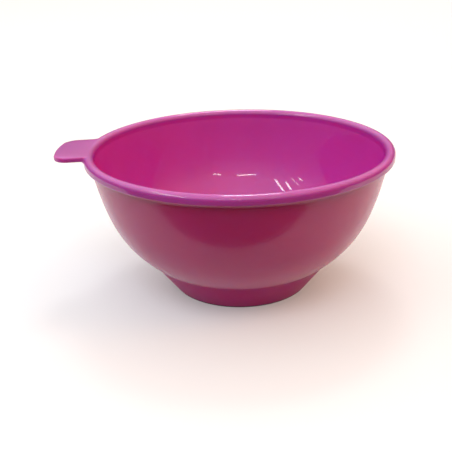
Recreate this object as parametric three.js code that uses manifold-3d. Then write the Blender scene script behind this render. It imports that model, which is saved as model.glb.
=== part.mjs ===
// A salon bowl for mixing hair colour: one plastic moulding that carries the round wall, the
// rolled rim lip, the thumb tab and the foot, and a rubber ring pressed into the foot's underside.
//
// Millimetres, +Z up. The bowl stands on z = 0. The origin is under the middle of the whole
// outline, tab included, so the bowl's own axis stands at x = bowlAxisX and the tab points
// along -X.

import * as THREE from 'three';
import { mergeVertices } from 'three/addons/utils/BufferGeometryUtils.js';
import Module from 'manifold-3d';

const wasm = await Module();
wasm.setup();

// ---- Driving dimensions ----

const totalHeight = 61.8;
const rimRadius = 65;
const wallThickness = 2;

// The lip: a solid bead round the top of the wall, rounded over its top.
const lipHeight = 3.7;
const lipRounding = 2.1;
const lipLowerRounding = 0.5;
const wallTopRadius = 62.6;

// The wall leaves the lip almost upright and meets the foot at a crease.
const wallTopAngle = THREE.MathUtils.degToRad(78);
const wallTopReach = 23.8;
const creaseRadius = 39.9;
const creaseHeight = 13.6;
const wallEndAngle = THREE.MathUtils.degToRad(38.3);
const wallEndReach = 17.5;

// Below the crease the wall's curve goes on as an arc to the flat floor, inside the foot.
const floorUndersideHeight = 4.6;

// The foot tapers inwards to a flat land that holds the ring.
const footBottomRadius = 30.1;
const footHollowRadius = 25;
const footHollowDraft = 0.3;

// The ring has a T section: its flange covers the land and its stem fills a groove in it.
const ringStandProud = 0.6;
const ringInset = 0.4;
const grooveInnerRadius = 26.3;
const grooveOuterRadius = 28.3;
const grooveDepth = 1.6;
const bondGap = 0.15;

// The thumb tab leaves the lip just under its crown and slopes slightly down to its tip.
const tabReach = 77.4;
const tabHalfWidth = 14;
const tabThickness = 2.2;
const tabBelowRim = 0.1;
const tabCornerRadius = 6.5;
const tabTipBulge = 0.6;
const tabDroop = THREE.MathUtils.degToRad(2);
const tabRootFillet = 1.8;
const tabRootDepth = 2.1;

const turnSegments = 72;
const wallSteps = 12;
const floorSteps = 6;
const roundingSteps = 4;

// ---- Worked out from them ----

const bowlAxisX = (tabReach - rimRadius) / 2;
const lipBottomHeight = totalHeight - lipHeight;
const floorDrop = creaseHeight - floorUndersideHeight;
const floorArcRadius = floorDrop / (1 - Math.cos(wallEndAngle));
const flatFloorRadius = creaseRadius - floorArcRadius * Math.sin(wallEndAngle);

// ---- Materials ----

const bowlPlastic = new THREE.MeshStandardMaterial({
  name: 'bowl_plastic', color: 0xb8397f, roughness: 0.28, metalness: 0,
});
const ringRubber = new THREE.MeshStandardMaterial({
  name: 'ring_rubber', color: 0x4a2236, roughness: 0.85, metalness: 0,
});

// ---- Profile curves: x is the radius and y the height ----

// The wall's outside, from under the lip down to the crease.
const wallCurve = new THREE.CubicBezierCurve(
  new THREE.Vector2(wallTopRadius, lipBottomHeight),
  new THREE.Vector2(
    wallTopRadius - wallTopReach * Math.cos(wallTopAngle),
    lipBottomHeight - wallTopReach * Math.sin(wallTopAngle),
  ),
  new THREE.Vector2(
    creaseRadius + wallEndReach * Math.cos(wallEndAngle),
    creaseHeight + wallEndReach * Math.sin(wallEndAngle),
  ),
  new THREE.Vector2(creaseRadius, creaseHeight),
);

// The inside lies one wall thickness in from the outside, measured square to it.
function insideWallPoints() {
  const points = [];
  for (let step = 0; step <= wallSteps; step += 1) {
    const along = step / wallSteps;
    const outside = wallCurve.getPoint(along);
    const down = wallCurve.getTangent(along);
    const inward = new THREE.Vector2(down.y, -down.x);
    points.push(outside.addScaledVector(inward, wallThickness));
  }
  return points;
}

function arcPoints(centreX, centreY, radius, fromAngle, toAngle, steps) {
  const clockwise = toAngle < fromAngle;
  const curve = new THREE.EllipseCurve(
    centreX, centreY, radius, radius, fromAngle, toAngle, clockwise,
  );
  return curve.getPoints(steps);
}

// The floor's underside inside the foot: flat in the middle, then rising along the wall's arc.
function floorUndersidePoints() {
  const reach = footHollowRadius - footHollowDraft - flatFloorRadius;
  const endAngle = Math.asin(reach / floorArcRadius);
  const centreHeight = floorUndersideHeight + floorArcRadius;
  const arc = arcPoints(
    flatFloorRadius, centreHeight, floorArcRadius,
    -Math.PI / 2, -Math.PI / 2 + endAngle, floorSteps / 2,
  );
  return [new THREE.Vector2(0, floorUndersideHeight), ...arc];
}

// The land under the foot, with the groove for the ring's stem.
function footLandPoints() {
  const grooveTop = ringStandProud + grooveDepth;
  return [
    new THREE.Vector2(footHollowRadius, ringStandProud),
    new THREE.Vector2(grooveInnerRadius, ringStandProud),
    new THREE.Vector2(grooveInnerRadius, grooveTop),
    new THREE.Vector2(grooveOuterRadius, grooveTop),
    new THREE.Vector2(grooveOuterRadius, ringStandProud),
    new THREE.Vector2(footBottomRadius, ringStandProud),
  ];
}

// The lip, from its lower edge over the crown to the inside wall.
function lipPoints(insideTop) {
  const innerRounding = rimRadius - lipRounding - insideTop.x;
  const lowerRound = arcPoints(
    rimRadius - lipLowerRounding, lipBottomHeight + lipLowerRounding, lipLowerRounding,
    -Math.PI / 2, 0, roundingSteps / 2,
  );
  const outerRound = arcPoints(
    rimRadius - lipRounding, totalHeight - lipRounding, lipRounding,
    0, Math.PI / 2, roundingSteps,
  );
  const innerRound = arcPoints(
    insideTop.x + innerRounding, totalHeight - innerRounding, innerRounding,
    Math.PI / 2, Math.PI, roundingSteps,
  );
  return [...lowerRound, ...outerRound, ...innerRound.slice(1)];
}

// The inside of the floor: the same arc, one wall thickness in, and the flat middle.
function floorInsidePoints() {
  const arc = arcPoints(
    flatFloorRadius, floorUndersideHeight + floorArcRadius, floorArcRadius - wallThickness,
    -Math.PI / 2 + wallEndAngle, -Math.PI / 2, floorSteps,
  );
  const centre = new THREE.Vector2(0, floorUndersideHeight + wallThickness);
  return [...arc.slice(1), centre];
}

function bowlProfile() {
  const outsideWall = wallCurve.getPoints(wallSteps).reverse();
  const insideWall = insideWallPoints();
  return [
    ...floorUndersidePoints(),
    ...footLandPoints(),
    ...outsideWall,
    ...lipPoints(insideWall[0]),
    ...insideWall,
    ...floorInsidePoints(),
  ];
}

// ---- Solids ----

// Turns a profile about the vertical axis.
function turned(profile) {
  const geometry = new THREE.LatheGeometry(profile, turnSegments);
  geometry.rotateX(Math.PI / 2);
  return geometry;
}

// The tab seen from above, with its root sunk into the lip and fillets against the rim.
function tabShape() {
  const filletCentreRadius = rimRadius + tabRootFillet;
  const filletCentreY = tabHalfWidth + tabRootFillet;
  const filletCentreX = -Math.sqrt(filletCentreRadius ** 2 - filletCentreY ** 2);
  const filletAngle = Math.atan2(-filletCentreY, -filletCentreX);
  const touch = rimRadius / filletCentreRadius;
  const rootRadius = rimRadius - tabRootDepth;
  const cornerX = -(tabReach - tabTipBulge - tabCornerRadius);
  const cornerY = tabHalfWidth - tabCornerRadius;

  const shape = new THREE.Shape();
  shape.absarc(0, 0, rootRadius, Math.PI - filletAngle, Math.PI + filletAngle, true);
  shape.lineTo(filletCentreX * touch, filletCentreY * touch);
  shape.absarc(filletCentreX, filletCentreY, tabRootFillet, filletAngle, -Math.PI / 2, true);
  shape.absarc(cornerX, cornerY, tabCornerRadius, Math.PI / 2, Math.PI, false);
  shape.quadraticCurveTo(
    -(tabReach + tabTipBulge), 0,
    cornerX - tabCornerRadius, -cornerY,
  );
  shape.absarc(cornerX, -cornerY, tabCornerRadius, Math.PI, Math.PI * 1.5, false);
  shape.absarc(filletCentreX, -filletCentreY, tabRootFillet, Math.PI / 2, -filletAngle, true);
  return shape;
}

function tabGeometry() {
  const geometry = new THREE.ExtrudeGeometry(tabShape(), {
    depth: tabThickness, bevelEnabled: false, curveSegments: 6,
  });
  const slope = Math.tan(tabDroop);
  const rootHeight = totalHeight - tabBelowRim - tabThickness;
  geometry.applyMatrix4(new THREE.Matrix4().makeShear(0, slope, 0, 0, 0, 0));
  geometry.translate(0, 0, rootHeight + slope * (rimRadius - tabRootDepth));
  return geometry;
}

function toManifold(geometry) {
  const bare = geometry.clone();
  bare.deleteAttribute('normal');
  bare.deleteAttribute('uv');
  const merged = mergeVertices(bare, 1e-4);
  return new wasm.Manifold(new wasm.Mesh({
    numProp: 3,
    vertProperties: new Float32Array(merged.attributes.position.array),
    triVerts: new Uint32Array(merged.index.array),
  }));
}

function toGeometry(solid) {
  const mesh = solid.getMesh();
  const geometry = new THREE.BufferGeometry();
  geometry.setAttribute('position', new THREE.BufferAttribute(mesh.vertProperties, 3));
  geometry.setIndex(new THREE.BufferAttribute(mesh.triVerts, 1));
  geometry.computeVertexNormals();
  return geometry;
}

function makeBowl() {
  const body = toManifold(turned(bowlProfile()));
  const tab = toManifold(tabGeometry());
  const mesh = new THREE.Mesh(toGeometry(body.add(tab)), bowlPlastic);
  mesh.name = 'bowl';
  return mesh;
}

function makeRing() {
  const flangeTop = ringStandProud - bondGap;
  const stemTop = ringStandProud + grooveDepth - bondGap;
  const profile = [
    new THREE.Vector2(footHollowRadius + ringInset, 0),
    new THREE.Vector2(footBottomRadius - ringInset, 0),
    new THREE.Vector2(footBottomRadius - ringInset, flangeTop),
    new THREE.Vector2(grooveOuterRadius - bondGap, flangeTop),
    new THREE.Vector2(grooveOuterRadius - bondGap, stemTop),
    new THREE.Vector2(grooveInnerRadius + bondGap, stemTop),
    new THREE.Vector2(grooveInnerRadius + bondGap, flangeTop),
    new THREE.Vector2(footHollowRadius + ringInset, flangeTop),
    new THREE.Vector2(footHollowRadius + ringInset, 0),
  ];
  const mesh = new THREE.Mesh(turned(profile), ringRubber);
  mesh.name = 'non_slip_ring';
  return mesh;
}

// ---- Assembly ----

const tintBowl = new THREE.Group();
tintBowl.add(makeBowl(), makeRing());
tintBowl.position.x = bowlAxisX;

export default tintBowl;
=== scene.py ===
"""Looks of a salon colour bowl: a glossy moulded bowl with a thumb tab, on a rubber ring."""

import math

import bpy
import numpy as np
from mathutils import Matrix, Vector


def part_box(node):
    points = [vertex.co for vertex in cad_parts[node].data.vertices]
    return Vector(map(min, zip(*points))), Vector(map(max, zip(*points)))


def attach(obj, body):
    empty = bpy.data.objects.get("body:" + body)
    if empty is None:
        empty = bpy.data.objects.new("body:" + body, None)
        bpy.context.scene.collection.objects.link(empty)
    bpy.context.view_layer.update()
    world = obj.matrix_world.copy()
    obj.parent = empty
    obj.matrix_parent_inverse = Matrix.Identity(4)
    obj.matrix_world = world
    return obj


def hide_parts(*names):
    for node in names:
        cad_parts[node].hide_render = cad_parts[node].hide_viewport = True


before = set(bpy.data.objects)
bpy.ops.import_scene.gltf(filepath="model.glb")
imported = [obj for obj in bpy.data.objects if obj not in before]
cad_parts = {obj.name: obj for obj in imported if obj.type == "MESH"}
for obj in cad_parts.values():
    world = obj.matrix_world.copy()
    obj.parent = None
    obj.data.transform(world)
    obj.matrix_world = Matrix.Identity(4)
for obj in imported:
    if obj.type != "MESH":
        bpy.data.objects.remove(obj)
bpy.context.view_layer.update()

MM = 0.001

# ---- Sizes, from the frame ----

BOWL_LOW, BOWL_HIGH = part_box("bowl")
RING_LOW, RING_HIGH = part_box("non_slip_ring")

RIM_RADIUS = (BOWL_HIGH.y - BOWL_LOW.y) / 2
AXIS_X = BOWL_HIGH.x - RIM_RADIUS
TAB_REACH = AXIS_X - BOWL_LOW.x
TOP = BOWL_HIGH.z
LAND = BOWL_LOW.z
RING_RADIUS = (RING_HIGH.x - RING_LOW.x) / 2

WALL = 2.0 * MM
LIP_BOTTOM = TOP - 3.7 * MM
LIP_ROUNDING = 2.1 * MM
LIP_EDGE = 0.5 * MM
LIP_FILLET = 2.3 * MM
WALL_TOP_RADIUS = RIM_RADIUS - 2.4 * MM
WALL_TOP_ANGLE = math.radians(78)
WALL_TOP_REACH = 23.8 * MM
INSIDE_LAND = 1.5 * MM

CREASE_RADIUS = 0.614 * RIM_RADIUS
CREASE_HEIGHT = 0.22 * TOP
CREASE_ANGLE = math.radians(38.3)
CREASE_REACH = 17.5 * MM
CREASE_ROUNDING = 0.5 * MM

FOOT_RADIUS = RING_RADIUS + 0.4 * MM
FOOT_HOLLOW_RADIUS = 25.0 * MM
FOOT_HOLLOW_DRAFT = 0.3 * MM
FOOT_EDGE = 0.3 * MM
FLOOR_UNDERSIDE = 4.6 * MM
GROOVE_INNER = 26.3 * MM
GROOVE_OUTER = 28.3 * MM
GROOVE_DEPTH = 1.6 * MM
BOND_GAP = 0.15 * MM

TAB_TOP = TOP - 0.1 * MM
TAB_BOTTOM = TAB_TOP - 2.2 * MM
TAB_EDGE = 0.6 * MM
TAB_HALF_WIDTH = 14.0 * MM
TAB_CORNER = 6.5 * MM
TAB_DROOP = math.tan(math.radians(2))
TAB_FILLET = 1.8 * MM
TAB_BULGE = 0.6 * MM
TAB_ROOT_FILLET = 0.5 * MM

# The smallest ring of the mesh round each pole, and the steps over the lip's inner rounding.
POLE_RADIUS = 0.3 * MM
CROWN_STEPS = 10

ARC_RADIUS = (CREASE_HEIGHT - FLOOR_UNDERSIDE) / (1 - math.cos(CREASE_ANGLE))
FLAT_RADIUS = CREASE_RADIUS - ARC_RADIUS * math.sin(CREASE_ANGLE)


# ---- Curves ----

def arc(centre, radius, start, end, steps):
    """Points on an arc, angles in degrees from the +X direction."""
    angles = np.radians(np.linspace(start, end, steps + 1))
    return np.stack([centre[0] + radius * np.cos(angles), centre[1] + radius * np.sin(angles)], 1)


def line(start, end, steps):
    share = np.linspace(0, 1, steps + 1)[:, None]
    return np.array(start) * (1 - share) + np.array(end) * share


def bezier(points, steps):
    share = np.linspace(0, 1, steps + 1)[:, None]
    a, b, c, d = (np.array(p) for p in points)
    rest = 1 - share
    return a * rest ** 3 + 3 * b * rest ** 2 * share + 3 * c * rest * share ** 2 + d * share ** 3


def joined(*runs):
    """One run of points from several, without the repeats where they meet."""
    points = [runs[0]]
    for run in runs[1:]:
        start = 1 if np.allclose(points[-1][-1], run[0], atol=1e-7) else 0
        points.append(run[start:])
    return np.concatenate(points)


def rounded(corner, before, after, radius, steps):
    """A fillet at a corner between two straight runs, given as three points."""
    corner, before, after = (np.array(p, float) for p in (corner, before, after))
    to_before = (before - corner) / np.linalg.norm(before - corner)
    to_after = (after - corner) / np.linalg.norm(after - corner)
    half = math.acos(np.clip(to_before @ to_after, -1, 1)) / 2
    reach = radius / math.tan(half)
    middle = to_before + to_after
    centre = corner + middle / np.linalg.norm(middle) * radius / math.sin(half)
    start = corner + to_before * reach - centre
    end = corner + to_after * reach - centre
    turn = math.atan2(start[0] * end[1] - start[1] * end[0], start @ end)
    angles = np.linspace(0, turn, steps + 1)
    cos, sin = np.cos(angles), np.sin(angles)
    return centre + np.stack([start[0] * cos - start[1] * sin, start[0] * sin + start[1] * cos], 1)


# ---- The bowl's profile, as (radius, height) ----

def wall_curve(top, steps):
    """The outside of the wall, from a height under the lip down to the crease."""
    return bezier([
        (WALL_TOP_RADIUS, top),
        (WALL_TOP_RADIUS - WALL_TOP_REACH * math.cos(WALL_TOP_ANGLE),
         top - WALL_TOP_REACH * math.sin(WALL_TOP_ANGLE)),
        (CREASE_RADIUS + CREASE_REACH * math.cos(CREASE_ANGLE),
         CREASE_HEIGHT + CREASE_REACH * math.sin(CREASE_ANGLE)),
        (CREASE_RADIUS, CREASE_HEIGHT),
    ], steps)


def underside():
    """The floor's underside inside the foot, out from the gate's nub in the middle."""
    nub, nub_height, nub_edge = 1.6 * MM, 0.5 * MM, 0.3 * MM
    dish, dish_depth, dish_edge = 5.0 * MM, 0.15 * MM, 0.3 * MM
    low = FLOOR_UNDERSIDE
    nub_low, dish_high = low - nub_height, low + dish_depth
    centre = (FLAT_RADIUS, low + ARC_RADIUS)
    reach = FOOT_HOLLOW_RADIUS - FOOT_HOLLOW_DRAFT - FLAT_RADIUS
    end = math.degrees(math.asin(reach / ARC_RADIUS)) - 90
    rise = arc(centre, ARC_RADIUS, -90, end, 8)
    meet = rise[-1]
    foot_edge = (FOOT_HOLLOW_RADIUS, LAND)
    return joined(
        line((POLE_RADIUS, nub_low), (nub - nub_edge, nub_low), 2),
        arc((nub - nub_edge, nub_low + nub_edge), nub_edge, -90, 0, 3),
        line((nub, dish_high + dish_depth), (nub + dish_edge, dish_high), 1),
        line((nub + dish_edge, dish_high), (dish, dish_high), 3),
        line((dish + dish_edge, low), (FLAT_RADIUS, low), 5),
        rise[:-2],
        rounded(meet, rise[-2], foot_edge, 0.5 * MM, 4),
    )


def foot_land():
    """The foot's inner side, its land with the groove, and its outer taper up to the crease."""
    top = LAND + GROOVE_DEPTH
    inner, outer = (FOOT_HOLLOW_RADIUS, LAND), (FOOT_RADIUS, LAND)
    crease = (CREASE_RADIUS, CREASE_HEIGHT)
    above = (CREASE_RADIUS + math.cos(CREASE_ANGLE), CREASE_HEIGHT + math.sin(CREASE_ANGLE))
    small = 0.15 * MM
    return joined(
        rounded(inner, (FOOT_HOLLOW_RADIUS - FOOT_HOLLOW_DRAFT, 6 * MM), outer, FOOT_EDGE, 4),
        rounded((GROOVE_INNER, LAND), inner, (GROOVE_INNER, top), small, 2),
        rounded((GROOVE_INNER, top), (GROOVE_INNER, LAND), (GROOVE_OUTER, top), small, 2),
        rounded((GROOVE_OUTER, top), (GROOVE_INNER, top), (GROOVE_OUTER, LAND), small, 2),
        rounded((GROOVE_OUTER, LAND), (GROOVE_OUTER, top), outer, small, 2),
        rounded(outer, (GROOVE_OUTER, LAND), crease, FOOT_EDGE, 5),
        line(
            np.array(outer) + 0.08 * (np.array(crease) - outer),
            np.array(outer) + 0.9 * (np.array(crease) - outer), 14),
        rounded(crease, outer, above, CREASE_ROUNDING, 4),
    )


def outside_wall():
    """The wall from just above the crease to the fillet under the lip."""
    wall = wall_curve(LIP_BOTTOM, 64)[::-1]
    corner, just_below, lip_edge = wall[-1], wall[-4], (RIM_RADIUS, LIP_BOTTOM)
    fillet = rounded(corner, just_below, lip_edge, LIP_FILLET, 6)
    height = wall[:, 1]
    top = min(LIP_BOTTOM - LIP_FILLET, fillet[0, 1] - 0.3 * MM)
    return joined(wall[(height > CREASE_HEIGHT + CREASE_ROUNDING) & (height < top)], fillet)


def inside_wall():
    """The inside, from the lip's crown over its inner rounding to the middle of the floor."""
    wall = wall_curve(LIP_BOTTOM, 64)
    along = np.gradient(wall, axis=0)
    along /= np.linalg.norm(along, axis=1)[:, None]
    inward = np.stack([along[:, 1], -along[:, 0]], 1)
    inside = wall + inward * WALL
    edge = inside[0, 0]
    rounding = RIM_RADIUS - LIP_ROUNDING - edge
    land_top = TOP - rounding
    land_bottom = land_top - INSIDE_LAND
    below = inside[inside[:, 1] < land_bottom - 1.5 * MM]
    floor = arc((FLAT_RADIUS, FLOOR_UNDERSIDE + ARC_RADIUS), ARC_RADIUS - WALL,
                math.degrees(CREASE_ANGLE) - 90, -90, 24)
    middle = line(floor[-1], (POLE_RADIUS, floor[-1, 1]), 12)
    bend = rounded((edge, land_bottom), (edge, land_top), below[0], 3.0 * MM, 3)
    crown = arc((edge + rounding, land_top), rounding, 90, 180, CROWN_STEPS)
    return joined(crown, line((edge, land_top), bend[0], 3), bend, below, floor[1:], middle)


# ---- The outline seen from above, as points, outward normals and share of tab ----

def outline():
    """Runs once round the rim and the tab: points, outward normals, and how far each is tab."""
    fillet_x = -math.sqrt((RIM_RADIUS + TAB_FILLET) ** 2 - (TAB_HALF_WIDTH + TAB_FILLET) ** 2)
    fillet_y = TAB_HALF_WIDTH + TAB_FILLET
    meet = math.degrees(math.atan2(fillet_y, fillet_x))
    corner_x = -(TAB_REACH - TAB_BULGE - TAB_CORNER)
    corner_y = TAB_HALF_WIDTH - TAB_CORNER
    tip_radius = (corner_y ** 2 + TAB_BULGE ** 2) / (2 * TAB_BULGE)
    tip_turn = math.degrees(math.asin(corner_y / tip_radius))
    runs = [
        (arc((0, 0), RIM_RADIUS, 0, meet, 104), 1, (0, 0), (0, 0)),
        (arc((fillet_x, fillet_y), TAB_FILLET, meet - 180, -90, 9), -1,
         (fillet_x, fillet_y), (0, 1)),
        (arc((corner_x, corner_y), TAB_CORNER, 90, 180 - tip_turn, 12), 1,
         (corner_x, corner_y), (1, 1)),
        (arc((-TAB_REACH + tip_radius, 0), tip_radius, 180 - tip_turn, 180, 8), 1,
         (-TAB_REACH + tip_radius, 0), (1, 1)),
    ]
    points, normals, shares = [], [], []
    for run, side, centre, (first, last) in runs:
        normal = (run - np.array(centre)) * side
        normal /= np.linalg.norm(normal, axis=1)[:, None]
        points.append(run[:-1] if side == 1 and first == last else run)
        normals.append(normal[:len(points[-1])])
        shares.append(np.linspace(first, last, len(run))[:len(points[-1])])
    points, normals, shares = (np.concatenate(part) for part in (points, normals, shares))
    tip = (np.array([[-TAB_REACH, 0.0]]), np.array([[-1.0, 0.0]]), np.array([1.0]))
    mirror = np.array([1.0, -1.0])
    points = np.concatenate([points, tip[0], (points * mirror)[:0:-1]])
    normals = np.concatenate([normals, tip[1], (normals * mirror)[:0:-1]])
    shares = np.concatenate([shares, tip[2], shares[:0:-1]])
    return points, normals, shares * shares * (3 - 2 * shares)


# ---- The bowl's surface: rows of points, one for each step of the profile ----

def polar_row(radius, height, angles):
    return np.stack([
        radius * np.cos(angles), radius * np.sin(angles), np.full(len(angles), height)], 1)


def wall_row(radius, height, even, angles):
    """A round row, evenly spaced low down and in step with the rim's points near the top."""
    ease = np.clip((height / TOP - 0.3) / 0.5, 0, 1)
    return polar_row(radius, height, even + (angles - even) * ease)


def lip_rows(points, normals, shares, angles):
    """From under the lip's outer edge, out round the tab where there is one, to the crown."""
    span = 5
    lip_side = joined(
        rounded((RIM_RADIUS, LIP_BOTTOM), (WALL_TOP_RADIUS, LIP_BOTTOM),
                (RIM_RADIUS, TOP), LIP_EDGE, 4),
        line((RIM_RADIUS, LIP_BOTTOM + LIP_EDGE), (RIM_RADIUS, TOP - LIP_ROUNDING), 4 + span),
    )
    lip_round = arc((RIM_RADIUS - LIP_ROUNDING, TOP - LIP_ROUNDING), LIP_ROUNDING, 0, 90,
                    6 + span)
    root = rounded((RIM_RADIUS, TAB_BOTTOM), (RIM_RADIUS, LIP_BOTTOM),
                   (RIM_RADIUS + MM, TAB_BOTTOM), TAB_ROOT_FILLET, 3)
    edge_low = arc((-TAB_EDGE, TAB_BOTTOM + TAB_EDGE), TAB_EDGE, -90, 0, 4)
    edge_high = arc((-TAB_EDGE, TAB_TOP - TAB_EDGE), TAB_EDGE, 0, 90, 5)

    lip = [polar_row(r, z, angles) for r, z in joined(lip_side, lip_round)]
    tab = [polar_row(r, z, angles) for r, z in lip_side[:5]]
    tab += [polar_row(r, z, angles) for r, z in root]

    def edge_row(inset, height):
        place = points + normals * inset
        beyond_crown = -place[:, 0] - (RIM_RADIUS - LIP_ROUNDING)
        return np.column_stack([place, height - TAB_DROOP * beyond_crown])

    root_end, first = tab[-1], edge_row(*edge_low[0])
    for share in np.linspace(0, 1, span + 1)[1:-1]:
        tab.append(root_end * (1 - share) + first * share)
    tab += [edge_row(*p) for p in edge_low]
    tab += [edge_row(*p) for p in edge_high]
    last = tab[-1]
    spare = len(lip) - len(tab)
    for share in np.linspace(0, 1, spare + 1)[1:]:
        tab.append(last * (1 - share) + lip[-1] * share)
    weight = shares[:, None]
    return [a * (1 - weight) + b * weight for a, b in zip(lip, tab)]


def bowl_rows():
    """Every row from the gate's nub to the floor, and the rows where each look starts."""
    points, normals, shares = outline()
    angles = np.unwrap(np.arctan2(points[:, 1], points[:, 0]))
    even = np.linspace(0, 2 * math.pi, len(angles), endpoint=False)
    foot = joined(underside(), foot_land())
    outer = joined(foot, outside_wall())
    rows = [wall_row(radius, height, even, angles) for radius, height in outer]
    rows += lip_rows(points, normals, shares, angles)
    inside_start = len(rows) + CROWN_STEPS - 1
    rows += [wall_row(radius, height, even, angles) for radius, height in inside_wall()[1:]]
    return rows, len(foot) - 2, len(outer), inside_start


def surface(name, rows, closed):
    """A mesh of quads between rows of points. Ends on two poles, or closes on itself."""
    count = len(rows[0])
    vertices = np.concatenate(rows)
    step = np.arange(count)
    after = (step + 1) % count
    faces = []
    pairs = len(rows) if closed else len(rows) - 1
    for row in range(pairs):
        low, high = row * count, ((row + 1) % len(rows)) * count
        faces += np.stack([low + step, low + after, high + after, high + step], 1).tolist()
    if not closed:
        poles = [rows[0].mean(0) * (0, 0, 1), rows[-1].mean(0) * (0, 0, 1)]
        vertices = np.concatenate([vertices, poles])
        bottom, top, last = len(vertices) - 2, len(vertices) - 1, (len(rows) - 1) * count
        faces += [(bottom, b, a) for a, b in zip(step.tolist(), after.tolist())]
        faces += [(top, last + a, last + b) for a, b in zip(step.tolist(), after.tolist())]
    mesh = bpy.data.meshes.new(name)
    mesh.from_pydata((vertices + (AXIS_X, 0, 0)).tolist(), [], faces)
    mesh.shade_smooth()
    mesh.validate()
    piece = bpy.data.objects.new(name, mesh)
    bpy.context.scene.collection.objects.link(piece)
    return piece


# ---- Materials ----

def new_material(name, **sockets):
    material = bpy.data.materials.new(name)
    material.use_nodes = True
    shader = material.node_tree.nodes["Principled BSDF"]
    for socket, value in sockets.items():
        shader.inputs[socket.replace("_", " ")].default_value = value
    return material, shader


def add_noise(material, scale, detail=4.0, distortion=0.0):
    nodes, links = material.node_tree.nodes, material.node_tree.links
    place = nodes.get("place") or nodes.new("ShaderNodeTexCoord")
    place.name = "place"
    noise = nodes.new("ShaderNodeTexNoise")
    noise.inputs["Scale"].default_value = scale
    noise.inputs["Detail"].default_value = detail
    noise.inputs["Distortion"].default_value = distortion
    links.new(place.outputs["Object"], noise.inputs["Vector"])
    return noise.outputs["Fac"]


def spread(material, value, low, high):
    """Maps a noise value, which stays near the middle, onto low to high."""
    node = material.node_tree.nodes.new("ShaderNodeMapRange")
    node.inputs["From Min"].default_value = 0.3
    node.inputs["From Max"].default_value = 0.7
    node.inputs["To Min"].default_value = low
    node.inputs["To Max"].default_value = high
    material.node_tree.links.new(value, node.inputs["Value"])
    return node.outputs["Result"]


def tinted(material, shader, value, first, second):
    mix = material.node_tree.nodes.new("ShaderNodeMix")
    mix.data_type = "RGBA"
    mix.inputs["A"].default_value = (*first, 1)
    mix.inputs["B"].default_value = (*second, 1)
    material.node_tree.links.new(value, mix.inputs["Factor"])
    material.node_tree.links.new(mix.outputs["Result"], shader.inputs["Base Color"])


def bumped(material, shader, heights):
    """Chains bumps: each is a value, a strength and a distance in metres."""
    last = None
    for value, strength, distance in heights:
        bump = material.node_tree.nodes.new("ShaderNodeBump")
        bump.inputs["Strength"].default_value = strength
        bump.inputs["Distance"].default_value = distance
        material.node_tree.links.new(value, bump.inputs["Height"])
        if last:
            material.node_tree.links.new(last, bump.inputs["Normal"])
        last = bump.outputs["Normal"]
    material.node_tree.links.new(last, shader.inputs["Normal"])


def plastic(name, light, deep, roughness, waviness, specular=0.5, bleed=(1.0, 0.04, 0.12)):
    """Dyed plastic that light bleeds into, with a slightly uneven colour and gloss."""
    material, shader = new_material(
        name, IOR=1.49, Specular_IOR_Level=specular, Subsurface_Weight=1.0,
        Subsurface_Scale=2.0 * MM, Subsurface_Radius=bleed, Subsurface_Anisotropy=0.0)
    cloud = spread(material, add_noise(material, 35, 3), 0, 1)
    tinted(material, shader, cloud, light, deep)
    haze = spread(material, add_noise(material, 90, 5), *roughness)
    material.node_tree.links.new(haze, shader.inputs["Roughness"])
    bumped(material, shader, [
        (add_noise(material, 45, 1), waviness, 0.2 * MM),
        (add_noise(material, 2500, 2), 0.05, 0.02 * MM),
    ])
    return material


def rubber():
    material, shader = new_material("ring_rubber", IOR=1.5)
    cloud = spread(material, add_noise(material, 120), 0, 1)
    tinted(material, shader, cloud, (0.050, 0.012, 0.028), (0.030, 0.008, 0.018))
    haze = spread(material, add_noise(material, 400), 0.7, 0.9)
    material.node_tree.links.new(haze, shader.inputs["Roughness"])
    bumped(material, shader, [(add_noise(material, 1800, 3), 0.4, 0.1 * MM)])
    return material


# ---- Pieces ----

def make_bowl():
    rows, foot_rows, outer_rows, inside_rows = bowl_rows()
    piece = surface("bowl_moulding", rows, closed=False)
    # One plastic in four lit and shaded copies: the foot's darker colour is painted shade, the
    # inside's brighter colour is painted light, the lip's duller, bluer colour is painted shade
    # under cool light, and the outside's darker, redder colour is painted shade under warm light.
    piece.data.materials.append(plastic(
        "bowl_foot_painted_shade", (0.29, 0.009, 0.11), (0.27, 0.008, 0.10), (0.35, 0.45), 0.02, 0.10))
    piece.data.materials.append(plastic(
        "bowl_outside_painted_shade", (0.38, 0.018, 0.145), (0.35, 0.016, 0.13), (0.16, 0.24), 0.02))
    piece.data.materials.append(plastic(
        "bowl_lip_painted_shade", (0.31, 0.027, 0.25), (0.29, 0.025, 0.23), (0.07, 0.12), 0.012, 0.75,
        bleed=(2.4, 0.2, 0.8)))
    piece.data.materials.append(plastic(
        "bowl_inside_painted_light", (0.42, 0.026, 0.265), (0.39, 0.023, 0.245), (0.03, 0.06), 0.005))
    count = len(rows[0])
    quads = (len(rows) - 1) * count
    index = np.zeros(len(piece.data.polygons), int)
    index[foot_rows * count:quads] = 1
    index[outer_rows * count:] = 2
    index[inside_rows * count:quads] = 3
    index[quads:quads + count] = 0
    index[quads + count:] = 3
    piece.data.polygons.foreach_set("material_index", index)
    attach(piece, "root")
    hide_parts("bowl")
    return piece


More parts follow.
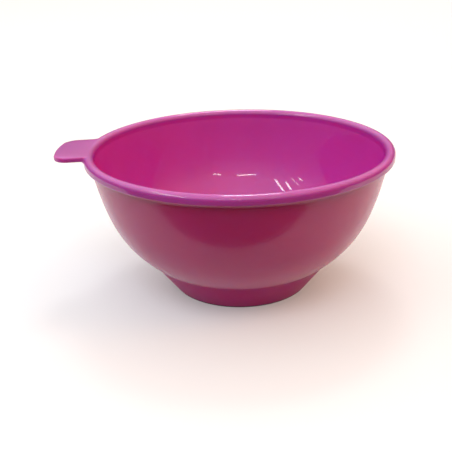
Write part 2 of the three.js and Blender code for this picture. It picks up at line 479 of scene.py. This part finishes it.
def make_ring():
    inner, outer = FOOT_HOLLOW_RADIUS + 0.4 * MM, RING_RADIUS
    flange, stem = LAND - BOND_GAP, RING_HIGH.z
    left, right = GROOVE_INNER + BOND_GAP, GROOVE_OUTER - BOND_GAP
    corners = [
        (inner, 0), (outer, 0), (outer, flange), (right, flange),
        (right, stem), (left, stem), (left, flange), (inner, flange),
    ]
    profile = []
    for index, corner in enumerate(corners):
        before = corners[index - 1]
        after = corners[(index + 1) % len(corners)]
        profile.append(rounded(corner, before, after, 0.15 * MM, 3))
    angles = np.linspace(0, 2 * math.pi, 256, endpoint=False)
    rows = [polar_row(r, z, angles) for r, z in np.concatenate(profile)]
    piece = surface("rubber_ring", rows, closed=True)
    piece.data.materials.append(rubber())
    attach(piece, "root")
    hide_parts("non_slip_ring")
    return piece


# ---- Stage ----

def add_camera():
    elevation, distance = math.radians(21.2), 4.99 * RIM_RADIUS
    aim = Vector((AXIS_X, 0, 0.4725 * RIM_RADIUS))
    away = Vector((0, -math.cos(elevation), math.sin(elevation)))
    data = bpy.data.cameras.new("camera")
    data.sensor_width = 36
    data.lens = 58.95
    data.clip_start = 0.01
    camera = bpy.data.objects.new("camera", data)
    bpy.context.scene.collection.objects.link(camera)
    camera.matrix_world = (
        Matrix.Translation(aim + away * distance)
        @ Matrix.Rotation(math.pi / 2 - elevation, 4, "X")
        @ Matrix.Rotation(math.radians(1.1), 4, "Y")
        @ Matrix.Rotation(math.radians(-1.0), 4, "X")
        @ Matrix.Rotation(math.radians(-1.1), 4, "Z")
    )
    bpy.context.scene.camera = camera


def add_area(name, place, aim, size, power, colour=(1, 1, 1)):
    data = bpy.data.lights.new(name, "AREA")
    data.shape = "RECTANGLE"
    data.size, data.size_y = size
    data.energy = power
    data.color = colour
    light = bpy.data.objects.new(name, data)
    light.location = place
    light.rotation_euler = (Vector(aim) - Vector(place)).to_track_quat("-Z", "Y").to_euler()
    bpy.context.scene.collection.objects.link(light)
    return light


# How far up and back a direction leans, the sky's level there, and how warm it is.
WORLD_ZENITH = 1.8
WORLD_SHADES = [(0.0, 0.05, 0.25), (0.3, 0.28, 0.1), (0.6, 0.88, 0.0), (0.8, 1.0, 0.0)]


def add_world():
    """A white ceiling that falls off to a dim horizon, and is warmer towards the right."""
    world = bpy.data.worlds.new("studio")
    world.use_nodes = True
    nodes, links = world.node_tree.nodes, world.node_tree.links
    direction = nodes.new("ShaderNodeTexCoord")
    lean = nodes.new("ShaderNodeVectorMath")
    lean.operation = "DOT_PRODUCT"
    lean.inputs[1].default_value = (0, 0.05, 1)
    ramp = nodes.new("ShaderNodeValToRGB")
    shades = ramp.color_ramp.elements
    shades.new(0.3)
    shades.new(0.6)
    for shade, (place, level, warmth) in zip(shades, WORLD_SHADES):
        shade.position = place
        shade.color = (level, level * (1 - warmth), level * (1 - 1.5 * warmth), 1)
    links.new(direction.outputs["Generated"], lean.inputs[0])
    links.new(lean.outputs["Value"], ramp.inputs["Fac"])
    side = nodes.new("ShaderNodeSeparateXYZ")
    links.new(direction.outputs["Generated"], side.inputs[0])
    warm = nodes.new("ShaderNodeMix")
    warm.data_type, warm.blend_type = "RGBA", "MULTIPLY"
    warm.inputs["B"].default_value = (1.0, 0.6, 0.3, 1)
    links.new(side.outputs["X"], warm.inputs["Factor"])
    links.new(ramp.outputs["Color"], warm.inputs["A"])
    links.new(warm.outputs["Result"], nodes["Background"].inputs["Color"])
    nodes["Background"].inputs["Strength"].default_value = WORLD_ZENITH
    bpy.context.scene.world = world


def flat_plane(name, low, high, height, turn=0.0):
    mesh = bpy.data.meshes.new(name)
    mesh.from_pydata(
        [(low[0], low[1], 0), (high[0], low[1], 0), (high[0], high[1], 0), (low[0], high[1], 0)],
        [], [(0, 1, 2, 3)])
    plane = bpy.data.objects.new(name, mesh)
    plane.location.z = height
    plane.rotation_euler.z = turn
    bpy.context.scene.collection.objects.link(plane)
    return plane


def add_floor():
    floor = flat_plane("floor", (-4, -4), (4, 4), 0)
    material, _ = new_material(
        "floor", Base_Color=(0.5, 0.5, 0.5, 1), Roughness=0.8,
        Emission_Color=(1, 1, 1, 1), Emission_Strength=0.15)
    floor.data.materials.append(material)


def add_dark_card():
    """A dark card laid in front. The camera doesn't see it, and the floor is lit through it."""
    card = flat_plane("dark_card", (-1.5, -1.5), (1.5, -1.22 * RIM_RADIUS), 1 * MM,
                      math.radians(-5))
    material, shader = new_material("dark_card", Base_Color=(0.15, 0.08, 0.055, 1), Roughness=0.9)
    nodes, links = material.node_tree.nodes, material.node_tree.links
    side, clear, mix = (nodes.new(kind) for kind in (
        "ShaderNodeNewGeometry", "ShaderNodeBsdfTransparent", "ShaderNodeMixShader"))
    links.new(side.outputs["Backfacing"], mix.inputs["Fac"])
    links.new(shader.outputs["BSDF"], mix.inputs[1])
    links.new(clear.outputs["BSDF"], mix.inputs[2])
    links.new(mix.outputs["Shader"], nodes["Material Output"].inputs["Surface"])
    card.data.materials.append(material)
    card.visible_camera = False
    card.visible_shadow = False


CEILING = 1.8
TUBE_WIDTH = 0.075
TUBE_RADIANCE = 20.0
BACK_LAMP_RADIANCE = 16.0


def add_tube(name, start, end, share=1.0):
    """A ceiling lamp tube between two places seen from above."""
    start, end = Vector((*start, CEILING)), Vector((*end, CEILING))
    length = (end - start).length
    light = add_area(name, (start + end) / 2, (start + end) / 2 - Vector((0, 0, 1)),
                     (length, TUBE_WIDTH), TUBE_RADIANCE * share * math.pi * length * TUBE_WIDTH)
    light.rotation_euler = (0, 0, math.atan2(end.y - start.y, end.x - start.x))


def add_soft_light(name, direction, share, colour):
    """A softbox 1.2 m away that lights the bowl but doesn't show in its gloss."""
    distance = 1.2
    place = Vector((AXIS_X, 0, TOP)) + Vector(direction).normalized() * distance
    light = add_area(name, place, (AXIS_X, 0, TOP), (0.5, 0.5),
                     share * math.pi ** 2 * distance ** 2, colour)
    light.visible_glossy = False


def add_back_lamp(name, left, right, depth):
    """A ceiling panel behind the bowl that draws a bright line along the front of the lip."""
    place = Vector((AXIS_X + (left + right) / 2, 1.0, CEILING))
    lamp = add_area(name, place, place - Vector((0, 0, 1)), (right - left, depth),
                    BACK_LAMP_RADIANCE * math.pi * (right - left) * depth)
    lamp.rotation_euler = (0, 0, 0)


def add_lights():
    add_soft_light("warm_light", (0.75, -0.2, 0.65), 0.28, (1.0, 0.42, 0.10))
    add_soft_light("cool_light", (-0.1, -0.6, 0.8), 0.3, (0.75, 0.82, 1.0))
    add_back_lamp("back_lamp_1", -0.14, 0.12, 0.5)
    add_back_lamp("back_lamp_2", 0.14, 0.34, 0.3)
    add_tube("tube_front_right", (0.89, -2.35), (1.32, -2.35))
    add_tube("tube_front", (-0.83, -2.31), (0.11, -2.31))
    add_tube("tube_left_1", (-1.5, -1.69), (-1.3, 0.2))
    add_tube("tube_left_2", (-1.87, -1.36), (-1.75, -0.73))
    add_tube("tube_left_3", (-2.44, -1.47), (-2.38, -0.86), 0.35)
    add_tube("tube_left_4", (-2.95, -1.3), (-2.95, -0.95))


def add_stage():
    bpy.context.scene.view_settings.view_transform = "Standard"
    add_world()
    add_floor()
    add_dark_card()
    add_lights()


add_camera()
add_stage()
make_bowl()
make_ring()
